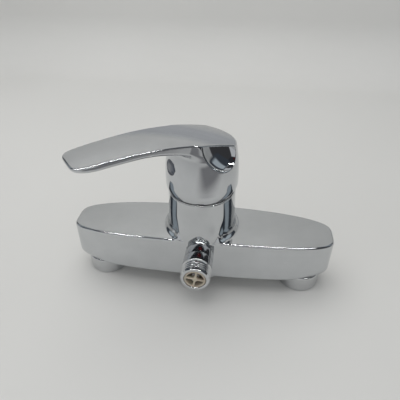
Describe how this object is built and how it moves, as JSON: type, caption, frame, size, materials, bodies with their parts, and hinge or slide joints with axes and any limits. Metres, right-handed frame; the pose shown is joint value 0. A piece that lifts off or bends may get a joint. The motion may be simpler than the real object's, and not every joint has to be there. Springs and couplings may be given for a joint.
{
  "type": "single-lever shower mixer faucet",
  "caption": "Chrome wall-mounted single-lever shower mixer: rounded bar body, turning and lifting lever on a neck, union nuts for the supplies and a threaded hose outlet with a check valve.",
  "frame": {"origin": "midway between the two inlets, in the plane of the union nuts' end faces, which is the wall side and the side the mixer lies on", "axes": "+Z out from the wall along the neck, +X along the bar towards the right-hand inlet, -Y the way the hose outlet faces, which is down on a wall"},
  "size_m": [0.1894, 0.0853, 0.1248],
  "materials": {
    "chrome_body": "polished chrome plate on brass",
    "chrome_trim": "polished chrome plate",
    "chrome_handle": "polished chrome plate on die-cast zinc",
    "brass_fitting": "turned brass",
    "brass_stem": "milled brass",
    "steel": "plain stainless steel",
    "filter_mesh": "perforated stainless steel",
    "cartridge_plastic": "moulded glass-filled plastic",
    "spindle_plastic": "moulded plastic",
    "driver_plastic": "moulded plastic",
    "ceramic": "lapped alumina ceramic",
    "index_plastic": "moulded plastic, grey violet",
    "ivory_plastic": "moulded plastic, ivory",
    "poppet_plastic": "moulded plastic",
    "seal_rubber": "nitrile rubber",
    "washer_rubber": "fibre-reinforced rubber"
  },
  "bodies": {
    "mixer": {"mixer_body": "chrome_body", "inlet_nipple_left": "brass_fitting", "inlet_nipple_right": "brass_fitting", "inlet_o_ring_left": "seal_rubber", "inlet_o_ring_right": "seal_rubber", "union_washer_left": "washer_rubber", "union_washer_right": "washer_rubber", "inlet_filter_left": "filter_mesh", "inlet_filter_right": "filter_mesh", "base_seal_rings": "seal_rubber", "cartridge_base": "cartridge_plastic", "disc_seal_rings": "seal_rubber", "fixed_ceramic_disc": "ceramic", "cartridge_housing": "cartridge_plastic", "clamp_nut": "brass_fitting", "dome_cover": "chrome_trim", "outlet_nipple": "chrome_trim", "outlet_o_ring": "seal_rubber", "check_valve_cage": "ivory_plastic", "check_valve_o_ring": "seal_rubber", "check_valve_spring": "steel"},
    "left_union_nut": {"union_nut_left": "chrome_trim"},
    "right_union_nut": {"union_nut_right": "chrome_trim"},
    "cartridge_spindle": {"spindle_carrier": "spindle_plastic", "spindle_o_ring": "seal_rubber", "pivot_pin": "steel"},
    "lever": {"handle": "chrome_handle", "stem": "brass_stem", "handle_screw": "steel", "index_plug": "index_plastic"},
    "sliding_disc": {"moving_ceramic_disc": "ceramic", "disc_driver": "driver_plastic"},
    "check_valve": {"check_valve_poppet": "poppet_plastic"}
  },
  "joints": [
    {"name": "lever_turn", "type": "hinge", "parent": "mixer", "child": "cartridge_spindle", "pos_m": [0, 0, 0.07], "axis": [0, 0, 1], "range_deg": [0, 104]},
    {"name": "lever_lift", "type": "hinge", "parent": "cartridge_spindle", "child": "lever", "pos_m": [0, 0, 0.07], "axis": [-0.6293, 0.7771, 0], "range_deg": [0, 20]},
    {"name": "disc_slide", "type": "slide", "parent": "cartridge_spindle", "child": "sliding_disc", "axis": [-0.7771, -0.6293, 0], "range_m": [0, 0.003]},
    {"name": "check_valve_lift", "type": "slide", "parent": "mixer", "child": "check_valve", "axis": [0, -1, 0], "range_m": [0, 0.003], "stiffness_N_per_m": 60, "springref_m": -0.003, "deforming": ["check_valve_spring"]},
    {"name": "union_nut_left_turn", "type": "hinge", "parent": "mixer", "child": "left_union_nut", "pos_m": [-0.075, 0, 0.0066], "axis": [0, 0, 1], "continuous": true},
    {"name": "union_nut_right_turn", "type": "hinge", "parent": "mixer", "child": "right_union_nut", "pos_m": [0.075, 0, 0.0066], "axis": [0, 0, 1], "continuous": true}
  ],
  "couplings": [
    {"joint": "disc_slide", "follows": "lever_lift", "m_per_rad": 0.00833}
  ]
}
